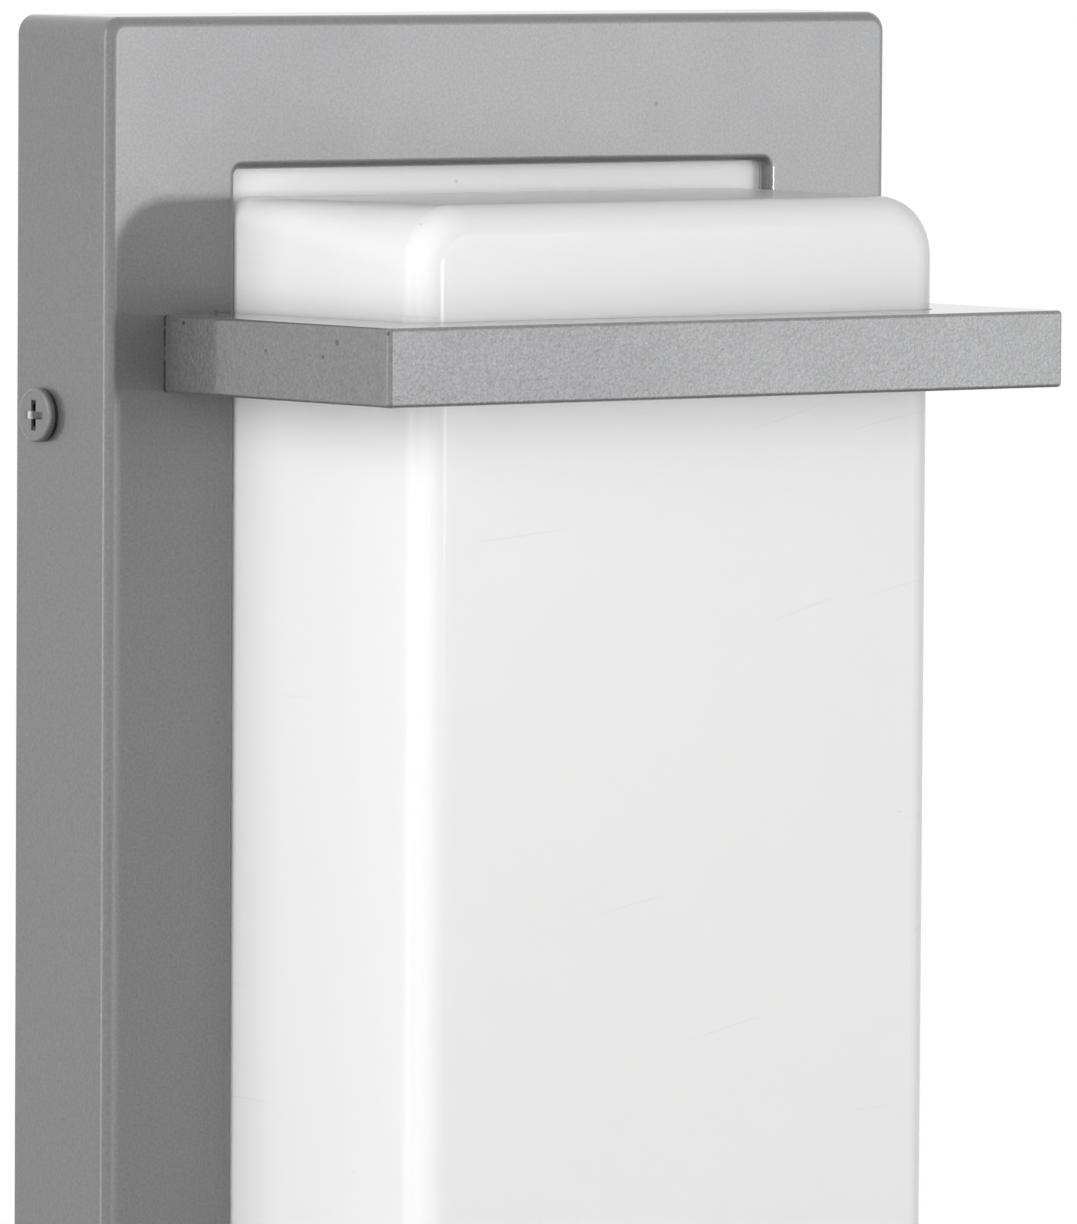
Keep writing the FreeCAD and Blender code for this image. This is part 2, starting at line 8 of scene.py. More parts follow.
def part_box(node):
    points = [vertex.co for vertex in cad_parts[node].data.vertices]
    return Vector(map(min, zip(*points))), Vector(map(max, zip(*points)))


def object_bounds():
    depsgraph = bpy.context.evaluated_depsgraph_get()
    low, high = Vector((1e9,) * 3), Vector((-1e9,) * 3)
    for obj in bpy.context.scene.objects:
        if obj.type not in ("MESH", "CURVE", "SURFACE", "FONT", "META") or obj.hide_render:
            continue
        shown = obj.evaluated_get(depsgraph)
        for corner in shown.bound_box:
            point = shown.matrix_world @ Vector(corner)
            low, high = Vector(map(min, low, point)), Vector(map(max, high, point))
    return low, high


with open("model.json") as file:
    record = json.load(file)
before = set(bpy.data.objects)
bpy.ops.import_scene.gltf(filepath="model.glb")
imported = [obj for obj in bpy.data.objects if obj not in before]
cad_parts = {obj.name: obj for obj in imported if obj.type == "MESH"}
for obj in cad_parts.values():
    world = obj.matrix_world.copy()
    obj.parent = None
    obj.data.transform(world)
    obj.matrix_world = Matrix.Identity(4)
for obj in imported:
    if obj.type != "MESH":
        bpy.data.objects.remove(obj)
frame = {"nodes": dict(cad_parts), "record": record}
cadLow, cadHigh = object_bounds()
nodes = frame["nodes"]
scene = bpy.context.scene
print("frame loaded:", len(nodes), "nodes")

camera = {
    "azimuth": 38.0,        # degrees round to the lantern's left side
    "pitch": 3.81,          # degrees downwards
    "roll": 0.36,
    "place": (-1.1222, -1.4679, 0.2106),
    "lens": 352.9,          # millimetres
    "sensor": 36.0,
    "near": 0.1,            # metres, the nearest and farthest that it sees
    "far": 50,
}


def addCamera():
    turn, dip, roll = (math.radians(camera[key]) for key in ("azimuth", "pitch", "roll"))
    ahead = Vector((math.sin(turn) * math.cos(dip), math.cos(turn) * math.cos(dip), -math.sin(dip)))
    right = Vector((math.cos(turn), -math.sin(turn), 0))
    up = right.cross(ahead)
    across = right * math.cos(roll) + up * math.sin(roll)
    upright = up * math.cos(roll) - right * math.sin(roll)
    cam = bpy.data.objects.new("productCamera", bpy.data.cameras.new("productCamera"))
    cam.matrix_world = Matrix((across, upright, -ahead)).transposed().to_4x4()
    cam.location = camera["place"]
    cam.data.lens = camera["lens"]
    cam.data.sensor_width = camera["sensor"]
    cam.data.clip_start = camera["near"]
    cam.data.clip_end = camera["far"]
    scene.collection.objects.link(cam)
    scene.camera = cam


addCamera()
print("camera placed")

# the Mix node's sockets for colours, which share their names with others
mixBase, mixOther, mixResult = 6, 7, 2


# small helpers, for a material's own tree and for a node group's
def addNode(tree, kind, settings=None, values=None):
    node = tree.nodes.new("ShaderNode" + kind)
    for key, value in (settings or {}).items():
        setattr(node, key, value)
    for key, value in (values or {}).items():
        node.inputs[key].default_value = value
    return node


def feed(tree, socket, value):      # a fixed number, or a link from another node
    if isinstance(value, (int, float)):
        socket.default_value = value
    else:
        tree.links.new(value, socket)


def addMath(tree, operation, *values):
    node = addNode(tree, "Math", {"operation": operation})
    for socket, value in zip(node.inputs, values):
        feed(tree, socket, value)
    return node.outputs[0]


def addVector(tree, operation, first, second):
    node = addNode(tree, "VectorMath", {"operation": operation})
    tree.links.new(first, node.inputs[0])
    tree.links.new(second, node.inputs["Scale" if operation == "SCALE" else 1])
    return node


def addRange(tree, value, low, high, toLow, toHigh):
    node = addNode(tree, "MapRange", {"interpolation_type": "SMOOTHSTEP"})
    tree.links.new(value, node.inputs["Value"])
    bounds = {"From Min": low, "From Max": high, "To Min": toLow, "To Max": toHigh}
    for label, bound in bounds.items():
        feed(tree, node.inputs[label], bound)
    return node.outputs[0]


def addNoise(tree, point, size, detail=2.0, rough=0.5, output="Fac"):       # size in metres
    node = addNode(tree, "TexNoise", values={"Detail": detail, "Roughness": rough})
    tree.links.new(point, node.inputs["Vector"])
    tree.links.new(addMath(tree, "DIVIDE", 1.0, size), node.inputs["Scale"])
    return node.outputs[output]


def objectPoint(tree):
    return addNode(tree, "TexCoord").outputs["Object"]


noiseMiddle = 0.5                   # what a noise varies around, and how far it goes at most


def offMiddle(tree, noise):
    return addMath(tree, "SUBTRACT", noise, noiseMiddle)


def spreadBy(tree, off, spread):    # up to the spread, either way
    return addMath(tree, "MULTIPLY", off, addMath(tree, "MULTIPLY", spread, 1 / noiseMiddle))


def newGroup(name, inputs, outputs):
    group = bpy.data.node_groups.new(name, "ShaderNodeTree")
    for label, kind, value in inputs:
        socket = group.interface.new_socket(label, in_out="INPUT", socket_type="NodeSocket" + kind)
        socket.default_value = value
    for label, kind in outputs:
        group.interface.new_socket(label, in_out="OUTPUT", socket_type="NodeSocket" + kind)
    return group, group.nodes.new("NodeGroupInput"), group.nodes.new("NodeGroupOutput")


# the effects that the finishes share
def makeGrain():            # a colour made uneven by two sizes of mottle
    group, entry, leave = newGroup("mottledGrain", [
        ("Colour", "Color", (0.5, 0.5, 0.5, 1)),
        ("Grain Size", "Float", 0.0006),
        ("Grain", "Float", 0.05),
        ("Patch Size", "Float", 0.03),
        ("Patch", "Float", 0.03),
    ], [("Colour", "Color")])
    point = objectPoint(group)
    fine = offMiddle(group, addNoise(group, point, entry.outputs["Grain Size"], detail=3.0, rough=0.7))
    broad = offMiddle(group, addNoise(group, point, entry.outputs["Patch Size"]))
    fineShare = spreadBy(group, fine, entry.outputs["Grain"])
    broadShare = spreadBy(group, broad, entry.outputs["Patch"])
    factor = addMath(group, "ADD", 1.0, addMath(group, "ADD", fineShare, broadShare))
    mottled = addVector(group, "SCALE", entry.outputs["Colour"], factor)
    group.links.new(mottled.outputs[0], leave.inputs["Colour"])
    return group


markShape = {"least": 0.4, "core": 0.5}     # the smallest mark, and the part of each that is solid


def makeMarks():            # scattered flecks, or scratches where they are stretched
    group, entry, leave = newGroup("scatteredMarks", [
        ("Colour", "Color", (0.5, 0.5, 0.5, 1)),
        ("Mark Colour", "Color", (0.1, 0.1, 0.1, 1)),
        ("Turn", "Vector", (0, 0, 0)),
        ("Stretch", "Vector", (1, 1, 1)),
        ("Bend", "Float", 0.0003),
        ("Bend Size", "Float", 0.001),
        ("Spacing", "Float", 0.01),
        ("Mark Size", "Float", 0.0003),
        ("Share", "Float", 0.3),
        ("Amount", "Float", 0.5),
    ], [("Colour", "Color")])
    point = objectPoint(group)
    warp = addNoise(group, point, entry.outputs["Bend Size"], detail=1.0, output="Color")
    shift = addVector(group, "SCALE", warp, entry.outputs["Bend"])
    moved = addVector(group, "ADD", point, shift.outputs[0])
    turned = addNode(group, "Mapping")
    group.links.new(moved.outputs[0], turned.inputs["Vector"])
    group.links.new(entry.outputs["Turn"], turned.inputs["Rotation"])
    drawn = addVector(group, "DIVIDE", turned.outputs[0], entry.outputs["Stretch"])
    cells = addNode(group, "TexVoronoi", values={"Randomness": 1.0})
    group.links.new(drawn.outputs[0], cells.inputs["Vector"])
    group.links.new(addMath(group, "DIVIDE", 1.0, entry.outputs["Spacing"]), cells.inputs["Scale"])
    split = addNode(group, "SeparateColor")
    group.links.new(cells.outputs["Color"], split.inputs[0])
    chosen = addMath(group, "LESS_THAN", split.outputs[0], entry.outputs["Share"])
    share = addMath(group, "DIVIDE", entry.outputs["Mark Size"], entry.outputs["Spacing"])
    radius = addMath(group, "MULTIPLY", share, addMath(group, "ADD", markShape["least"], split.outputs[1]))
    core = addMath(group, "MULTIPLY", radius, markShape["core"])
    spot = addRange(group, cells.outputs["Distance"], core, radius, 1.0, 0.0)
    mask = addMath(group, "MULTIPLY", addMath(group, "MULTIPLY", spot, chosen), entry.outputs["Amount"])
    mix = addNode(group, "Mix", {"data_type": "RGBA"})
    group.links.new(mask, mix.inputs[0])
    group.links.new(entry.outputs["Colour"], mix.inputs[mixBase])
    group.links.new(entry.outputs["Mark Colour"], mix.inputs[mixOther])
    group.links.new(mix.outputs[mixResult], leave.inputs["Colour"])
    return group


edgeShape = {
    "samples": 4,
    "worn": 0.8, "whole": 0.99,             # how nearly the rounded normal agrees with the flat one
    "breakFrom": 0.35, "breakTo": 0.6, "least": 0.2,        # the noise that wears some stretches less
}


def makeEdges():            # where an edge is sharp, for wear or thin paint
    group, entry, leave = newGroup("edgeWear", [
        ("Radius", "Float", 0.0005),
        ("Amount", "Float", 0.5),
        ("Break Size", "Float", 0.003),
    ], [("Mask", "Float")])
    bevel = addNode(group, "Bevel", {"samples": edgeShape["samples"]})
    group.links.new(entry.outputs["Radius"], bevel.inputs["Radius"])
    flat = addNode(group, "NewGeometry")
    agree = addVector(group, "DOT_PRODUCT", bevel.outputs[0], flat.outputs["Normal"]).outputs["Value"]
    sharp = addRange(group, agree, edgeShape["worn"], edgeShape["whole"], 1.0, 0.0)
    noise = addNoise(group, objectPoint(group), entry.outputs["Break Size"], detail=3.0)
    broken = addRange(group, noise, edgeShape["breakFrom"], edgeShape["breakTo"], edgeShape["least"], 1.0)
    mask = addMath(group, "MULTIPLY", addMath(group, "MULTIPLY", sharp, broken), entry.outputs["Amount"])
    group.links.new(mask, leave.inputs["Mask"])
    return group


def makeSmudge():           # a value, such as roughness, that drifts over the surface
    group, entry, leave = newGroup("handledSheen", [
        ("Value", "Float", 0.4),
        ("Spread", "Float", 0.05),
        ("Size", "Float", 0.02),
    ], [("Value", "Float")])
    noise = addNoise(group, objectPoint(group), entry.outputs["Size"], detail=4.0, rough=0.6)
    drift = spreadBy(group, offMiddle(group, noise), entry.outputs["Spread"])
    group.links.new(addMath(group, "ADD", entry.outputs["Value"], drift), leave.inputs["Value"])
    return group


def makeRelief():           # height for a bump: a fine tooth over a gentle ripple
    group, entry, leave = newGroup("surfaceRelief", [
        ("Tooth Size", "Float", 0.0004),
        ("Tooth", "Float", 0.5),
        ("Ripple Size", "Float", 0.004),
        ("Ripple", "Float", 0.5),
    ], [("Height", "Float")])
    point = objectPoint(group)
    fine = addNoise(group, point, entry.outputs["Tooth Size"], detail=2.0)
    broad = addNoise(group, point, entry.outputs["Ripple Size"], detail=1.0)
    tooth = addMath(group, "MULTIPLY", fine, entry.outputs["Tooth"])
    ripple = addMath(group, "MULTIPLY", broad, entry.outputs["Ripple"])
    group.links.new(addMath(group, "ADD", tooth, ripple), leave.inputs["Height"])
    return group


def makeStreaks():          # long fine lines, as in rolled sheet
    group, entry, leave = newGroup("rolledStreaks", [
        ("Value", "Float", 0.4),
        ("Spread", "Float", 0.1),
        ("Stretch", "Vector", (0.01, 0.01, 1)),
        ("Size", "Float", 0.02),
    ], [("Value", "Float"), ("Height", "Float")])
    drawn = addVector(group, "DIVIDE", objectPoint(group), entry.outputs["Stretch"])
    line = offMiddle(group, addNoise(group, drawn.outputs[0], entry.outputs["Size"], detail=3.0, rough=0.6))
    spread = spreadBy(group, line, entry.outputs["Spread"])
    group.links.new(addMath(group, "ADD", entry.outputs["Value"], spread), leave.inputs["Value"])
    group.links.new(line, leave.inputs["Height"])
    return group


effects = {
    "grain": makeGrain(), "marks": makeMarks(), "edges": makeEdges(),
    "smudge": makeSmudge(), "relief": makeRelief(), "streaks": makeStreaks(),
}
print("shared effects built:", len(effects))


def addEffect(tree, name, values):
    node = tree.nodes.new("ShaderNodeGroup")
    node.node_tree = effects[name]
    for key, value in values.items():
        isColour = node.inputs[key].type == "RGBA"
        node.inputs[key].default_value = (*value, 1) if isColour else value
    return node


def mixColour(tree, mask, colour, other):
    mix = addNode(tree, "Mix", {"data_type": "RGBA"}, {mixOther: (*other, 1)})
    tree.links.new(mask, mix.inputs[0])
    tree.links.new(colour, mix.inputs[mixBase])
    return mix.outputs[mixResult]


def bareShadedMiddle(tree, look):     # a mask for what lies under the head's face, near its middle: the recess that gets painted shade
    parts = addNode(tree, "SeparateXYZ")
    tree.links.new(objectPoint(tree), parts.inputs[0])
    x = addMath(tree, "ABSOLUTE", parts.outputs["X"])
    z = addMath(tree, "ABSOLUTE", parts.outputs["Z"])
    top, reach = look["face"] - look["sunk"], look["head"] * look["reach"]
    sink = addRange(tree, x, top - look["soft"], top, 1.0, 0.0)
    out = addMath(tree, "SUBTRACT", parts.outputs["Y"], look["middle"][0])
    up = addMath(tree, "SUBTRACT", z, look["middle"][1])
    square = addMath(tree, "ADD", addMath(tree, "MULTIPLY", up, up), addMath(tree, "MULTIPLY", out, out))
    away = addMath(tree, "SQRT", square)
    near = addRange(tree, away, reach * look["fade"], reach, 1.0, 0.0)
    bareShaded = addMath(tree, "MULTIPLY", sink, near)
    far = addRange(tree, away, reach * look["endsFrom"], reach * look["endsTo"], 0.0, 1.0)
    return bareShaded, addMath(tree, "MULTIPLY", bareShaded, far)


creaseShadeShape = {"solid": 0.7, "breakFrom": 0.3, "breakTo": 0.45}      # the painted shade line's full width, and its gaps


def creaseShadeMask(tree, look):       # painted shade: a broken dark line where a piece meets the one that it sits on
    point = objectPoint(tree)
    parts = addNode(tree, "SeparateXYZ")
    tree.links.new(point, parts.inputs[0])
    place = addMath(tree, "ABSOLUTE", parts.outputs[look["axis"]])
    away = addMath(tree, "ABSOLUTE", addMath(tree, "SUBTRACT", place, look["at"]))
    line = addRange(tree, away, look["width"] * creaseShadeShape["solid"], look["width"], 1.0, 0.0)
    noise = addNoise(tree, point, look["break"])
    broken = addRange(tree, noise, creaseShadeShape["breakFrom"], creaseShadeShape["breakTo"], look["least"], 1.0)
    return addMath(tree, "MULTIPLY", line, broken)


def newFinish(name, look):      # one finish from its dictionary
    material = bpy.data.materials.new(name)
    material.use_nodes = True
    tree = material.node_tree
    shader = tree.nodes["Principled BSDF"]
    grain = addEffect(tree, "grain", dict(look["grain"], Colour=look["colour"]))
    colour = grain.outputs["Colour"]
    rough = addEffect(tree, "smudge", look["sheen"]).outputs["Value"]
    height = addEffect(tree, "relief", look["relief"]).outputs["Height"]
    if "streaks" in look:
        streaks = addEffect(tree, "streaks", look["streaks"])
        tree.links.new(rough, streaks.inputs["Value"])
        rough = streaks.outputs["Value"]
        height = addMath(tree, "ADD", height, streaks.outputs["Height"])
    if "edges" in look:
        wear = {key: value for key, value in look["edges"].items() if key != "Colour"}
        edges = addEffect(tree, "edges", wear)
        colour = mixColour(tree, edges.outputs["Mask"], colour, look["edges"]["Colour"])
    for mark in look.get("marks", ()):
        marks = addEffect(tree, "marks", mark)
        tree.links.new(colour, marks.inputs["Colour"])
        colour = marks.outputs["Colour"]
    # painted shade along the line where a piece meets another
    if "creaseShade" in look:
        colour = mixColour(tree, creaseShadeMask(tree, look["creaseShade"]), colour, look["creaseShade"]["colour"])
    if "bareShaded" in look:      # a middle that the paint never reached, painted dark as shade in the recess, and polished where the driver bears
        bareShaded, ends = bareShadedMiddle(tree, look["bareShaded"])
        # painted shade: the recess is darkened to stand in for its shadow
        colour = mixColour(tree, bareShaded, colour, look["bareShaded"]["recessShade"])
        colour = mixColour(tree, ends, colour, look["bareShaded"]["colour"])
        rough = addRange(tree, bareShaded, 0.0, 1.0, rough, look["bareShaded"]["rough"])
        metal = addRange(tree, bareShaded, 0.0, 1.0, look["shader"]["Metallic"], 1.0)
        tree.links.new(metal, shader.inputs["Metallic"])
    tree.links.new(colour, shader.inputs["Base Color"])
    tree.links.new(rough, shader.inputs["Roughness"])
    bump = addNode(tree, "Bump", values=look["bump"])
    tree.links.new(height, bump.inputs["Height"])
    tree.links.new(bump.outputs["Normal"], shader.inputs["Normal"])
    for key, value in look.get("shader", {}).items():
        shader.inputs[key].default_value = value
    return material


# one dictionary for each finish: lengths in metres, the rest as shares of one
finishes = {
    "silver_paint": {       # fine metallic paint
        "colour": (0.178, 0.1795, 0.183),
        "grain": {"Grain Size": 0.00045, "Grain": 0.36, "Patch Size": 0.03, "Patch": 0.025},
        "marks": [{"Mark Colour": (0.06, 0.06, 0.06), "Spacing": 0.007, "Mark Size": 0.0004,
                   "Share": 0.25, "Amount": 0.6}],
        "sheen": {"Value": 0.46, "Spread": 0.04, "Size": 0.02},
        "relief": {"Tooth Size": 0.0004, "Tooth": 0.6, "Ripple Size": 0.003, "Ripple": 0.4},
        "bump": {"Strength": 0.25, "Distance": 0.00004},
        "shader": {"Metallic": 0.66, "Coat Weight": 1.0, "Coat Roughness": 0.1, "Coat IOR": 1.6},
    },
    "opal_plastic": {       # glossy moulded acrylic, milky just under its skin
        "colour": (0.88, 0.88, 0.875),
        "grain": {"Grain Size": 0.002, "Grain": 0.004, "Patch Size": 0.02, "Patch": 0.006},
        "marks": [
            {"Mark Colour": (0.35, 0.35, 0.35), "Spacing": 0.01, "Mark Size": 0.00033, "Share": 0.3,
             "Amount": 0.3},
            {"Mark Colour": (0.72, 0.72, 0.72), "Turn": (0.0, 1.72, 0.0), "Stretch": (0.02, 1.0, 1.0),
             "Bend": 0.012, "Bend Size": 0.06, "Spacing": 0.05, "Mark Size": 0.009, "Share": 0.12,
             "Amount": 0.28},
        ],
        "sheen": {"Value": 0.22, "Spread": 0.02, "Size": 0.01},
        "relief": {"Tooth Size": 0.001, "Tooth": 0.03, "Ripple Size": 0.02, "Ripple": 0.2},
        "bump": {"Strength": 0.06, "Distance": 0.0001},
        "shader": {"Subsurface Weight": 0.5, "Subsurface Radius": (1.0, 1.0, 1.0),
                   "Subsurface Scale": 0.004, "IOR": 1.49, "Specular IOR Level": 0.25},
    },
    "silicone_grey": {      # soft moulded strip, dusty on its skin
        "colour": (0.34, 0.345, 0.345),
        "grain": {"Grain Size": 0.0008, "Grain": 0.06, "Patch Size": 0.015, "Patch": 0.06},
        "marks": [{"Mark Colour": (0.6, 0.6, 0.58), "Spacing": 0.004, "Mark Size": 0.0003, "Share": 0.3,
                   "Amount": 0.4}],
        "sheen": {"Value": 0.52, "Spread": 0.08, "Size": 0.008},
        "relief": {"Tooth Size": 0.0004, "Tooth": 0.3, "Ripple Size": 0.006, "Ripple": 0.5},
        "bump": {"Strength": 0.3, "Distance": 0.00005},
        "shader": {"Subsurface Weight": 0.25, "Subsurface Radius": (1.0, 1.0, 1.0),
                   "Subsurface Scale": 0.001, "IOR": 1.41},
    },
    "foam_black": {         # closed cells cut open at the faces
        "colour": (0.022, 0.022, 0.023),
        "grain": {"Grain Size": 0.0009, "Grain": 0.35, "Patch Size": 0.012, "Patch": 0.12},
        "marks": [
            {"Mark Colour": (0.004, 0.004, 0.004), "Spacing": 0.0011, "Mark Size": 0.0006, "Share": 0.8,
             "Amount": 0.85},
            {"Mark Colour": (0.2, 0.2, 0.19), "Spacing": 0.006, "Mark Size": 0.0003, "Share": 0.3,
             "Amount": 0.4},
        ],
        "sheen": {"Value": 0.85, "Spread": 0.08, "Size": 0.004},
        "relief": {"Tooth Size": 0.0009, "Tooth": 1.0, "Ripple Size": 0.004, "Ripple": 0.6},
        "bump": {"Strength": 0.8, "Distance": 0.0003},
    },
    "rubber_black": {
        "colour": (0.018, 0.018, 0.018),
        "grain": {"Grain Size": 0.0005, "Grain": 0.15, "Patch Size": 0.006, "Patch": 0.15},
        "edges": {"Colour": (0.07, 0.07, 0.068), "Radius": 0.0004, "Amount": 0.6, "Break Size": 0.002},
        "marks": [{"Mark Colour": (0.22, 0.22, 0.2), "Spacing": 0.003, "Mark Size": 0.00025, "Share": 0.3,
                   "Amount": 0.35}],
        "sheen": {"Value": 0.58, "Spread": 0.1, "Size": 0.005},
        "relief": {"Tooth Size": 0.0003, "Tooth": 0.5, "Ripple Size": 0.002, "Ripple": 0.3},
        "bump": {"Strength": 0.4, "Distance": 0.00005},
    },
    "zinc_steel": {         # rolled sheet with the faint spangle of its plating
        "colour": (0.5, 0.51, 0.525),
        "grain": {"Grain Size": 0.007, "Grain": 0.16, "Patch Size": 0.05, "Patch": 0.08},
        "edges": {"Colour": (0.66, 0.67, 0.68), "Radius": 0.0004, "Amount": 0.7, "Break Size": 0.003},
        "marks": [
            {"Mark Colour": (0.24, 0.25, 0.26), "Turn": (0.0, 0.5, 0.0), "Stretch": (0.03, 1.0, 1.0),
             "Bend": 0.004, "Bend Size": 0.04, "Spacing": 0.02, "Mark Size": 0.0028, "Share": 0.45,
             "Amount": 0.5},
            {"Mark Colour": (0.75, 0.76, 0.78), "Turn": (0.0, -0.9, 0.0), "Stretch": (0.02, 1.0, 1.0),
             "Bend": 0.003, "Bend Size": 0.03, "Spacing": 0.025, "Mark Size": 0.003, "Share": 0.4,
             "Amount": 0.5},
            {"Mark Colour": (0.8, 0.8, 0.78), "Spacing": 0.01, "Mark Size": 0.0007, "Share": 0.25,
             "Amount": 0.3},
        ],
        "sheen": {"Value": 0.4, "Spread": 0.1, "Size": 0.012},
        "streaks": {"Spread": 0.1, "Stretch": (0.006, 0.006, 1.0), "Size": 0.05},
        "relief": {"Tooth Size": 0.0005, "Tooth": 0.2, "Ripple Size": 0.007, "Ripple": 0.5},
        "bump": {"Strength": 0.25, "Distance": 0.00005},
        "shader": {"Metallic": 1.0},
    },
    "screw_steel": {        # turned stainless steel
        "colour": (0.46, 0.46, 0.465),
        "grain": {"Grain Size": 0.0004, "Grain": 0.10, "Patch Size": 0.004, "Patch": 0.1},
        "edges": {"Colour": (0.7, 0.7, 0.7), "Radius": 0.0003, "Amount": 0.7, "Break Size": 0.001},
        "marks": [{"Mark Colour": (0.15, 0.15, 0.15), "Spacing": 0.002, "Mark Size": 0.0002, "Share": 0.3,
                   "Amount": 0.5}],
        "sheen": {"Value": 0.3, "Spread": 0.1, "Size": 0.002},
        "relief": {"Tooth Size": 0.0002, "Tooth": 0.4, "Ripple Size": 0.001, "Ripple": 0.4},
        "bump": {"Strength": 0.3, "Distance": 0.00002},
        "shader": {"Metallic": 1.0},
    },
    "tray_white": {         # matt reflector paint over pressed sheet
        "colour": (0.82, 0.82, 0.80),
        "grain": {"Grain Size": 0.0007, "Grain": 0.03, "Patch Size": 0.03, "Patch": 0.03},
        "edges": {"Colour": (0.6, 0.6, 0.58), "Radius": 0.0004, "Amount": 0.5, "Break Size": 0.004},
        "marks": [{"Mark Colour": (0.3, 0.3, 0.28), "Spacing": 0.014, "Mark Size": 0.0004, "Share": 0.3,
                   "Amount": 0.4}],
        "sheen": {"Value": 0.62, "Spread": 0.06, "Size": 0.02},
        "relief": {"Tooth Size": 0.0007, "Tooth": 0.6, "Ripple Size": 0.003, "Ripple": 0.4},
        "bump": {"Strength": 0.3, "Distance": 0.00005},
    },
    "board_white": {        # solder mask over faint copper lands
        "colour": (0.74, 0.76, 0.73),
        "grain": {"Grain Size": 0.0005, "Grain": 0.03, "Patch Size": 0.01, "Patch": 0.05},
        "edges": {"Colour": (0.5, 0.47, 0.38), "Radius": 0.0003, "Amount": 0.8, "Break Size": 0.002},
        "marks": [{"Mark Colour": (0.5, 0.42, 0.3), "Spacing": 0.006, "Mark Size": 0.0005, "Share": 0.3,
                   "Amount": 0.4}],
        "sheen": {"Value": 0.38, "Spread": 0.06, "Size": 0.01},
        "relief": {"Tooth Size": 0.0006, "Tooth": 0.3, "Ripple Size": 0.003, "Ripple": 0.5},
        "bump": {"Strength": 0.25, "Distance": 0.00003},
    },
    "chip_yellow": {        # silicone full of phosphor
        "colour": (0.82, 0.56, 0.09),
        "grain": {"Grain Size": 0.0003, "Grain": 0.16, "Patch Size": 0.004, "Patch": 0.1},
        "edges": {"Colour": (0.8, 0.78, 0.7), "Radius": 0.0003, "Amount": 0.8, "Break Size": 0.001},
        "sheen": {"Value": 0.28, "Spread": 0.08, "Size": 0.002},
        "relief": {"Tooth Size": 0.0002, "Tooth": 0.4, "Ripple Size": 0.001, "Ripple": 0.6},
        "bump": {"Strength": 0.3, "Distance": 0.00003},
        "shader": {"Subsurface Weight": 0.3, "Subsurface Radius": (1.0, 0.7, 0.2),
                   "Subsurface Scale": 0.0006},
    },
    "connector_white": {
        "colour": (0.79, 0.79, 0.73),
        "grain": {"Grain Size": 0.0006, "Grain": 0.04, "Patch Size": 0.004, "Patch": 0.06},
        "edges": {"Colour": (0.86, 0.86, 0.82), "Radius": 0.0003, "Amount": 0.6, "Break Size": 0.002},
        "marks": [{"Mark Colour": (0.35, 0.33, 0.28), "Spacing": 0.004, "Mark Size": 0.0002,
                   "Share": 0.25, "Amount": 0.4}],
        "sheen": {"Value": 0.42, "Spread": 0.06, "Size": 0.004},
        "relief": {"Tooth Size": 0.0003, "Tooth": 0.4, "Ripple Size": 0.0015, "Ripple": 0.4},
        "bump": {"Strength": 0.3, "Distance": 0.00003},
        "shader": {"Subsurface Weight": 0.2, "Subsurface Radius": (1.0, 1.0, 0.8),
                   "Subsurface Scale": 0.0008},
    },
    "driver_plastic": {     # spark-eroded mould texture
        "colour": (0.70, 0.70, 0.67),
        "grain": {"Grain Size": 0.0005, "Grain": 0.04, "Patch Size": 0.02, "Patch": 0.04},
        "edges": {"Colour": (0.8, 0.8, 0.77), "Radius": 0.0005, "Amount": 0.5, "Break Size": 0.004},
        "marks": [{"Mark Colour": (0.3, 0.29, 0.27), "Turn": (0.0, 0.4, 0.0), "Stretch": (0.05, 1.0, 1.0),
                   "Bend": 0.002, "Bend Size": 0.02, "Spacing": 0.02, "Mark Size": 0.003, "Share": 0.35,
                   "Amount": 0.35}],
        "sheen": {"Value": 0.46, "Spread": 0.06, "Size": 0.015},
        "relief": {"Tooth Size": 0.0005, "Tooth": 1.0, "Ripple Size": 0.003, "Ripple": 0.3},
        "bump": {"Strength": 0.5, "Distance": 0.00006},
    },
    "potting_grey": {       # poured, with a skin and a few bubbles
        "colour": (0.075, 0.075, 0.08),
        "grain": {"Grain Size": 0.001, "Grain": 0.12, "Patch Size": 0.01, "Patch": 0.15},
        "marks": [{"Mark Colour": (0.02, 0.02, 0.02), "Spacing": 0.005, "Mark Size": 0.0009, "Share": 0.4,
                   "Amount": 0.7}],
        "sheen": {"Value": 0.3, "Spread": 0.12, "Size": 0.01},
        "relief": {"Tooth Size": 0.001, "Tooth": 0.2, "Ripple Size": 0.008, "Ripple": 1.0},
        "bump": {"Strength": 0.5, "Distance": 0.0003},
    },
    "terminal_cream": {
        "colour": (0.66, 0.60, 0.44),
        "grain": {"Grain Size": 0.0006, "Grain": 0.05, "Patch Size": 0.006, "Patch": 0.06},
        "edges": {"Colour": (0.76, 0.71, 0.56), "Radius": 0.0004, "Amount": 0.6, "Break Size": 0.003},
        "marks": [{"Mark Colour": (0.3, 0.25, 0.16), "Spacing": 0.005, "Mark Size": 0.0003, "Share": 0.3,
                   "Amount": 0.45}],
        "sheen": {"Value": 0.4, "Spread": 0.08, "Size": 0.006},
        "relief": {"Tooth Size": 0.0004, "Tooth": 0.5, "Ripple Size": 0.002, "Ripple": 0.4},
        "bump": {"Strength": 0.3, "Distance": 0.00004},
    },
    "ground_green": {       # dyed plating, worn to bright metal at the edges
        "colour": (0.015, 0.13, 0.035),
        "grain": {"Grain Size": 0.0005, "Grain": 0.15, "Patch Size": 0.003, "Patch": 0.15},
        "edges": {"Colour": (0.45, 0.5, 0.42), "Radius": 0.0003, "Amount": 0.7, "Break Size": 0.0015},
        "marks": [{"Mark Colour": (0.3, 0.36, 0.3), "Spacing": 0.0025, "Mark Size": 0.0003, "Share": 0.3,
                   "Amount": 0.5}],
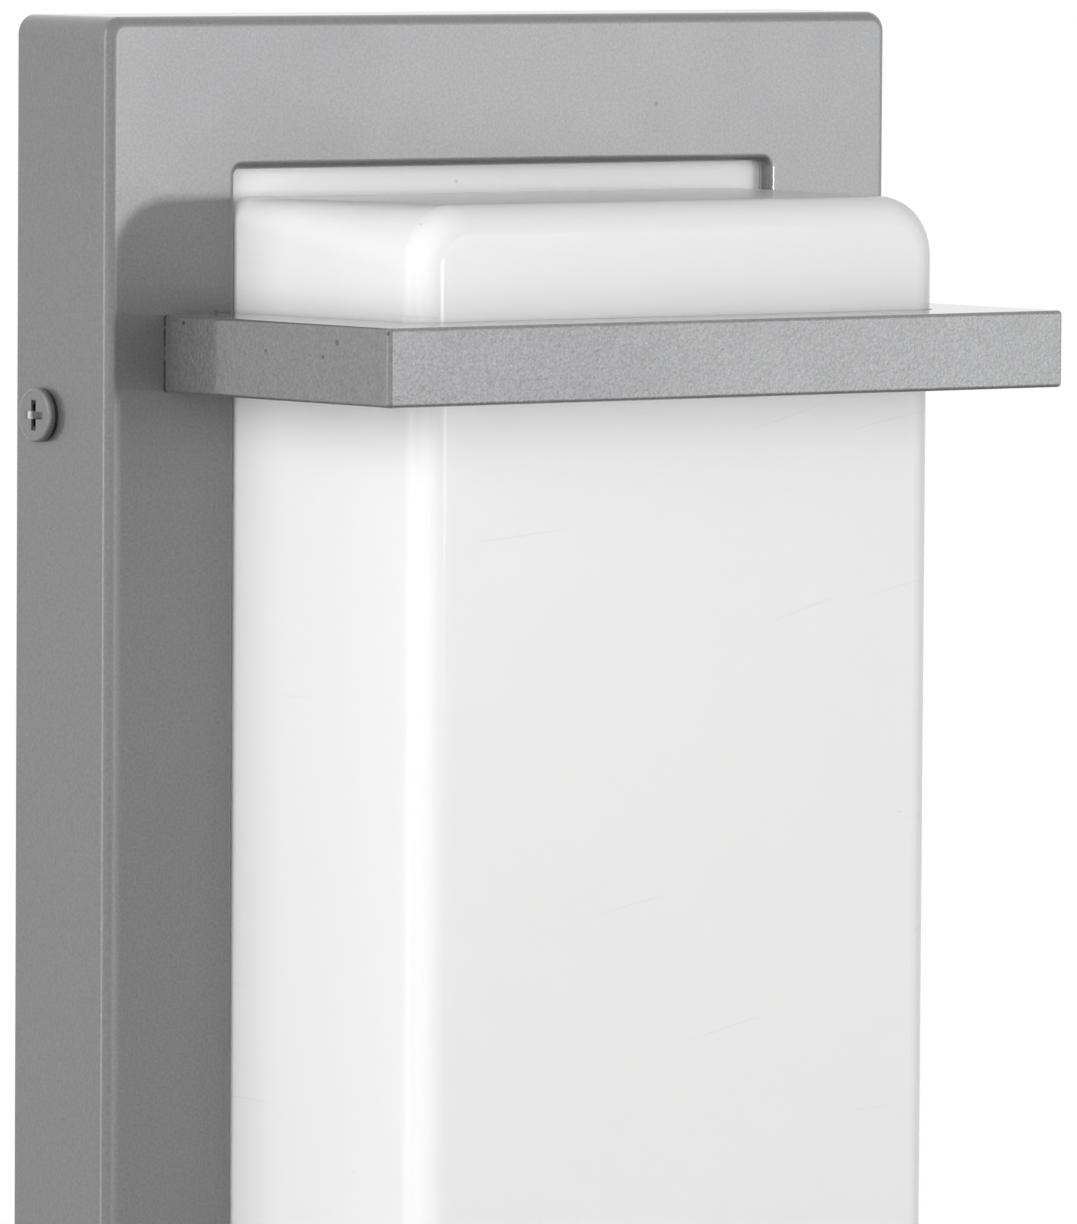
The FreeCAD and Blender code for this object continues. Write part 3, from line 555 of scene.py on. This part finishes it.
        "sheen": {"Value": 0.34, "Spread": 0.1, "Size": 0.002},
        "relief": {"Tooth Size": 0.0002, "Tooth": 0.4, "Ripple Size": 0.001, "Ripple": 0.4},
        "bump": {"Strength": 0.3, "Distance": 0.00002},
        "shader": {"Metallic": 0.75},
    },
    "washer_brass": {
        "colour": (0.56, 0.36, 0.09),
        "grain": {"Grain Size": 0.0006, "Grain": 0.12, "Patch Size": 0.004, "Patch": 0.15},
        "edges": {"Colour": (0.72, 0.52, 0.2), "Radius": 0.0003, "Amount": 0.7, "Break Size": 0.0015},
        "marks": [{"Mark Colour": (0.16, 0.09, 0.03), "Spacing": 0.0025, "Mark Size": 0.0004,
                   "Share": 0.35, "Amount": 0.5}],
        "sheen": {"Value": 0.34, "Spread": 0.12, "Size": 0.003},
        "relief": {"Tooth Size": 0.0003, "Tooth": 0.4, "Ripple Size": 0.0015, "Ripple": 0.4},
        "bump": {"Strength": 0.3, "Distance": 0.00002},
        "shader": {"Metallic": 1.0},
    },
}
pan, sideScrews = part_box("cover_pan"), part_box("side_screws")
headRadius = (sideScrews[1].y - sideScrews[0].y) / 2
finishes["bar_paint"] = {       # the same paint over a rougher casting, with painted shade where the feet meet the pan
    **finishes["silver_paint"],
    "colour": (0.19, 0.1915, 0.195),
    "grain": {"Grain Size": 0.00042, "Grain": 0.6, "Patch Size": 0.008, "Patch": 0.05},
    "marks": [{"Mark Colour": (0.03, 0.03, 0.03), "Spacing": 0.005, "Mark Size": 0.0005, "Share": 0.3,
               "Amount": 0.8}],
    "relief": {"Tooth Size": 0.0006, "Tooth": 1.0, "Ripple Size": 0.003, "Ripple": 0.6},
    "bump": {"Strength": 0.8, "Distance": 0.00014},
    # painted shade: a dark broken line on the bar where its feet meet the pan
    "creaseShade": {"colour": (0.005, 0.005, 0.005), "axis": "Y", "at": -pan[0].y, "width": 0.00035,
             "break": 0.0012, "least": 0.2},
}
finishes["screw_paint"] = {     # painted over in place, the recess scraped by the driver and painted dark as shade, with a painted shadow ring round the head's foot
    **finishes["silver_paint"],
    # sunk is how far under the face it starts, reach is a share of the head, and fade and ends of the reach
    # the recess's dark colour is painted shade
    "bareShaded": {"colour": (0.75, 0.74, 0.72), "recessShade": (0.1, 0.1, 0.1), "rough": 0.3,
             "face": sideScrews[1].x, "sunk": 0.0003, "soft": 0.0002,
             "middle": (sideScrews[0].y + headRadius, sideScrews[1].z - headRadius),
             "head": headRadius, "reach": 0.63, "fade": 0.9, "endsFrom": 0.6, "endsTo": 0.75},
    # painted shadow: a near-black ring at the foot of each head, against the pan
    "creaseShade": {"colour": (0.004, 0.004, 0.004), "axis": "X", "at": pan[1].x, "width": 0.0007,
             "break": 0.003, "least": 0.9},
}
finishOf = {part["node"]: part["material_slot"] for part in frame["record"]["subparts"]}
finishOf.update(upper_bar="bar_paint", lower_bar="bar_paint", side_screws="screw_paint")
made = {name: newFinish(name, look) for name, look in finishes.items()}
for name, piece in nodes.items():
    piece.data.materials[0] = made[finishOf[name]]
print("finishes given:", len(made))

floor = {
    "radius": 1.1, "sides": 96,
    "colour": (0.66, 0.66, 0.66), "rough": 0.6,
    "grain": {"Grain Size": 0.001, "Grain": 0.01, "Patch Size": 0.1, "Patch": 0.01},
    "fadeFrom": 0.35, "fadeTo": 0.95, "white": 1.0,     # metres from its middle, where it turns plain white
}


def addSeen(tree):              # 1 for a ray that shows the background: direct, mirrored or through glass
    path = addNode(tree, "LightPath")
    seen = addMath(tree, "MAXIMUM", path.outputs["Is Camera Ray"], path.outputs["Is Glossy Ray"])
    return addMath(tree, "MAXIMUM", seen, path.outputs["Is Transmission Ray"])


def addFloor():
    mesh = bpy.data.meshes.new("paleFloor")
    build = bmesh.new()
    bmesh.ops.create_circle(build, cap_ends=True, segments=floor["sides"], radius=floor["radius"])
    build.to_mesh(mesh)
    build.free()
    piece = bpy.data.objects.new("paleFloor", mesh)
    piece.location = (0, (cadLow.y + cadHigh.y) / 2, cadLow.z)
    scene.collection.objects.link(piece)
    material = bpy.data.materials.new("paleFloor")
    material.use_nodes = True
    tree = material.node_tree
    shader = tree.nodes["Principled BSDF"]
    grain = addEffect(tree, "grain", dict(floor["grain"], Colour=floor["colour"]))
    tree.links.new(grain.outputs["Colour"], shader.inputs["Base Color"])
    shader.inputs["Roughness"].default_value = floor["rough"]
    white = addNode(tree, "Emission", values={"Color": (1, 1, 1, 1), "Strength": floor["white"]})
    far = addNode(tree, "VectorMath", {"operation": "LENGTH"})
    tree.links.new(objectPoint(tree), far.inputs[0])
    fade = addRange(tree, far.outputs["Value"], floor["fadeFrom"], floor["fadeTo"], 0.0, 1.0)
    mix = addNode(tree, "MixShader")
    tree.links.new(addMath(tree, "MULTIPLY", fade, addSeen(tree)), mix.inputs[0])
    tree.links.new(shader.outputs[0], mix.inputs[1])
    tree.links.new(white.outputs[0], mix.inputs[2])
    tree.links.new(mix.outputs[0], tree.nodes["Material Output"].inputs["Surface"])
    mesh.materials.append(material)


addFloor()
print("floor laid")

scene.view_settings.view_transform = "Standard"
lamps = {                       # azimuth and height in degrees, distance and size in metres, watts
    "keyLamp": {"azimuth": 29.4, "height": 3.4, "distance": 2.5, "size": (0.1, 0.1), "power": 12.5,
                "mirrored": True},
    "rightBox": {"azimuth": 52, "height": 2, "distance": 1.1, "size": (0.6, 0.6), "power": 1.2,
                 "mirrored": True},
    "leftBox": {"azimuth": -104, "height": 4, "distance": 1.8, "size": (0.6, 2.4), "power": 8.0,
                "mirrored": True},
    "leftFront": {"azimuth": -58, "height": 5, "distance": 1.8, "size": (1.6, 2.0), "power": 35.0,
                  "mirrored": False},
    "frontBox": {"azimuth": -15, "height": 25, "distance": 2.0, "size": (1.2, 0.8), "power": 1.0,
                 "mirrored": False},
}


def addLamps():
    middle = (cadLow + cadHigh) / 2
    for name, lamp in lamps.items():
        turn, rise = math.radians(lamp["azimuth"]), math.radians(lamp["height"])
        away = Vector((math.sin(turn) * math.cos(rise), -math.cos(turn) * math.cos(rise), math.sin(rise)))
        data = bpy.data.lights.new(name, "AREA")
        data.shape = "RECTANGLE"
        data.size, data.size_y = lamp["size"]
        data.energy = lamp["power"]
        piece = bpy.data.objects.new(name, data)
        piece.location = middle + away * lamp["distance"]
        piece.rotation_mode = "QUATERNION"
        piece.rotation_quaternion = away.to_track_quat("Z", "Y")
        piece.visible_glossy = lamp["mirrored"]
        scene.collection.objects.link(piece)


surround = {"unseen": 0.25, "seen": 1.0}        # how strongly it lights, and how white it looks


def addSurround():
    world = bpy.data.worlds.new("paleRoom")
    scene.world = world
    world.use_nodes = True
    tree = world.node_tree
    tree.nodes.clear()
    strength = addRange(tree, addSeen(tree), 0.0, 1.0, surround["unseen"], surround["seen"])
    back = addNode(tree, "Background", values={"Color": (1, 1, 1, 1)})
    out = addNode(tree, "OutputWorld")
    tree.links.new(strength, back.inputs["Strength"])
    tree.links.new(back.outputs[0], out.inputs["Surface"])


addLamps()
addSurround()
print("lamps and surround placed")
